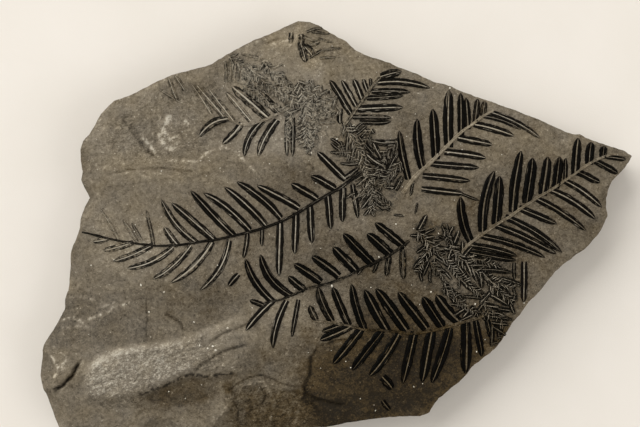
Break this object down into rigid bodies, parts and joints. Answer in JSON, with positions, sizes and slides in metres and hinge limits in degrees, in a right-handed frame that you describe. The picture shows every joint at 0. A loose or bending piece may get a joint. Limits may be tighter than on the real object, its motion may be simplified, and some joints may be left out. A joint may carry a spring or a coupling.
{
  "type": "fossil fern plate",
  "caption": "Broken slab of grey-brown shale with the pressed leaves and stems of several ferns in low relief on its face; lies flat on its back.",
  "frame": {"origin": "middle of the bounding box of the flat back, on the surface that the slab lies on", "axes": "+Z out of the fossil face and up, +X along the longest side towards the pointed corner, +Y towards the top corner of the face"},
  "size_m": [0.2372, 0.1708, 0.02],
  "materials": {
    "shale": "dull grey-brown shale with slightly shining black carbon film on the leaves"
  },
  "bodies": {
    "root": {"fossil_slab": "shale"}
  },
  "joints": []
}
